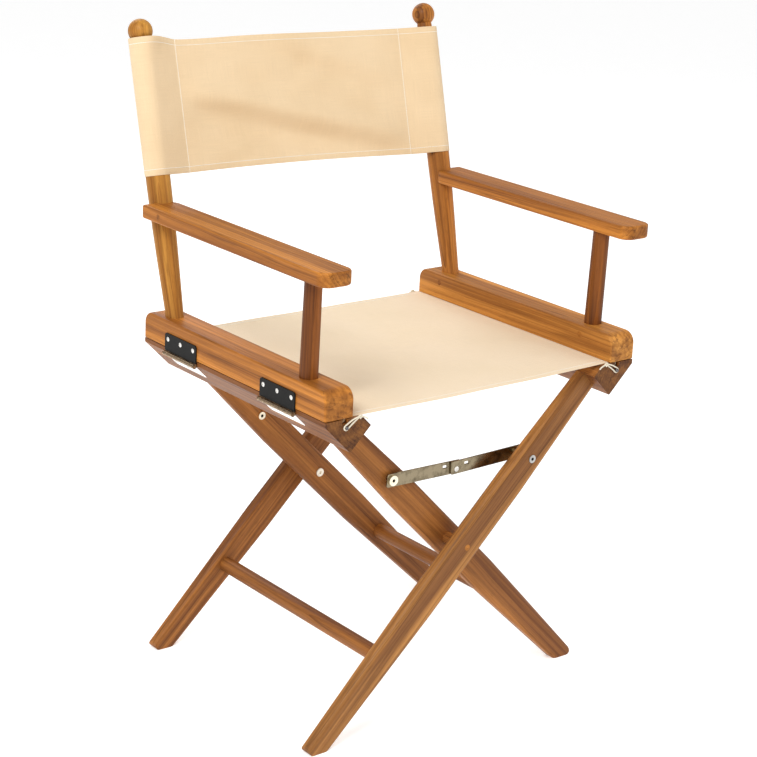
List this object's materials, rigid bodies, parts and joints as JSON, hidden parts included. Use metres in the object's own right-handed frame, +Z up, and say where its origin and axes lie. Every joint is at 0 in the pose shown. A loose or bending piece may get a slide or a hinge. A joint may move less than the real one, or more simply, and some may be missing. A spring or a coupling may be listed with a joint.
{
  "type": "folding chair",
  "caption": "Folding teak director's chair with crossed legs, hinged arms and cream canvas seat and back",
  "frame": {"origin": "middle of the chair's bounding box, on the floor plane under its feet", "axes": "-Y is the front of the chair, +X is the viewer's right seen from the front, +Z is up"},
  "size_m": [0.551, 0.4845, 0.89],
  "materials": {
    "teak_frame": "satin",
    "teak_arm": "satin",
    "teak_post": "satin",
    "teak_back_post": "satin",
    "teak_plug": "satin",
    "dark_metal": "gloss",
    "bright_metal": "polished",
    "brace_metal": "polished",
    "brass": "polished",
    "screw_steel": "polished",
    "dark_screw": "satin",
    "cord": "matte",
    "rod": "matte",
    "seat_fabric": "matte",
    "back_fabric": "matte"
  },
  "bodies": {
    "outer_frame": {"leg_outer_front": "teak_frame", "leg_outer_back": "teak_frame", "seat_rail_right": "teak_frame", "stretcher_outer": "teak_frame", "pivot_bolts": "brass", "pivot_sleeve_nuts": "brass", "pivot_spacers": "teak_plug", "pivot_plugs": "teak_plug", "brace_bolts_outer": "brass", "brace_spacers": "brass", "hinge_lower_right_front": "bright_metal", "hinge_lower_right_back": "bright_metal", "hinge_screws_lower_right": "screw_steel", "tie_screws_right": "dark_screw", "seat_ties_right": "cord", "seat_rod_right": "rod", "seat_hem_right": "seat_fabric", "seat_canvas": "seat_fabric"},
    "inner_frame": {"leg_inner_front": "teak_frame", "leg_inner_back": "teak_frame", "seat_rail_left": "teak_frame", "stretcher_inner": "teak_frame", "brace_bolts_inner": "brass", "hinge_lower_left_front": "bright_metal", "hinge_lower_left_back": "bright_metal", "hinge_screws_lower_left": "screw_steel", "tie_screws_left": "dark_screw", "seat_ties_left": "cord", "seat_rod_left": "rod", "seat_hem_left": "seat_fabric"},
    "right_arm": {"arm_base_right": "teak_arm", "front_post_right": "teak_post", "back_post_right": "teak_back_post", "armrest_right": "teak_arm", "hinge_upper_right_front": "dark_metal", "hinge_upper_right_back": "dark_metal", "hinge_screws_upper_right": "screw_steel", "hinge_pins_right": "brass", "wood_pins_right": "teak_plug", "back_sleeve_right": "back_fabric"},
    "left_arm": {"arm_base_left": "teak_arm", "front_post_left": "teak_post", "back_post_left": "teak_back_post", "armrest_left": "teak_arm", "hinge_upper_left_front": "dark_metal", "hinge_upper_left_back": "dark_metal", "hinge_screws_upper_left": "screw_steel", "hinge_pins_left": "brass", "wood_pins_left": "teak_plug", "back_sleeve_left": "back_fabric", "back_canvas": "back_fabric"},
    "brace_link_front_left": {"brace_front_left": "brace_metal", "brace_rivet_front_left": "brass"},
    "brace_link_front_right": {"brace_front_right": "brace_metal", "brace_rivet_front_right": "brass"},
    "brace_link_back_left": {"brace_back_left": "brace_metal", "brace_rivet_back_left": "brass"},
    "brace_link_back_right": {"brace_back_right": "brace_metal", "brace_rivet_back_right": "brass"}
  },
  "joints": [
    {"name": "fold", "type": "hinge", "parent": "outer_frame", "child": "inner_frame", "pos_m": [0, -0.02227, 0.2375], "axis": [0, 1, 0], "range_deg": [0, 80.2], "deforming": ["seat_canvas", "back_canvas"]},
    {"name": "right_arm_hinge", "type": "hinge", "parent": "outer_frame", "child": "right_arm", "pos_m": [0.266, -0.02227, 0.45955], "axis": [0, 1, 0], "range_deg": [0, 40.5]},
    {"name": "left_arm_hinge", "type": "hinge", "parent": "inner_frame", "child": "left_arm", "pos_m": [-0.266, -0.02227, 0.45955], "axis": [0, 1, 0], "range_deg": [-40.5, 0]},
    {"name": "brace_front_left_pivot", "type": "hinge", "parent": "inner_frame", "child": "brace_link_front_left", "pos_m": [-0.1064, -0.18317, 0.34323], "axis": [0, 1, 0], "range_deg": [0, 40.98]},
    {"name": "brace_front_right_pivot", "type": "hinge", "parent": "outer_frame", "child": "brace_link_front_right", "pos_m": [0.1064, -0.18317, 0.34323], "axis": [0, 1, 0], "range_deg": [-40.98, 0]},
    {"name": "brace_back_left_pivot", "type": "hinge", "parent": "inner_frame", "child": "brace_link_back_left", "pos_m": [-0.1064, 0.13863, 0.34323], "axis": [0, 1, 0], "range_deg": [0, 40.98]},
    {"name": "brace_back_right_pivot", "type": "hinge", "parent": "outer_frame", "child": "brace_link_back_right", "pos_m": [0.1064, 0.13863, 0.34323], "axis": [0, 1, 0], "range_deg": [-40.98, 0]}
  ],
  "couplings": [
    {"joint": "right_arm_hinge", "follows": "fold", "ratio": 0.5},
    {"joint": "left_arm_hinge", "follows": "fold", "ratio": -0.5},
    {"joint": "brace_front_left_pivot", "follows": "fold", "ratio": 0.50601},
    {"joint": "brace_front_right_pivot", "follows": "fold", "ratio": -0.50601},
    {"joint": "brace_back_left_pivot", "follows": "fold", "ratio": 0.50601},
    {"joint": "brace_back_right_pivot", "follows": "fold", "ratio": -0.50601}
  ]
}
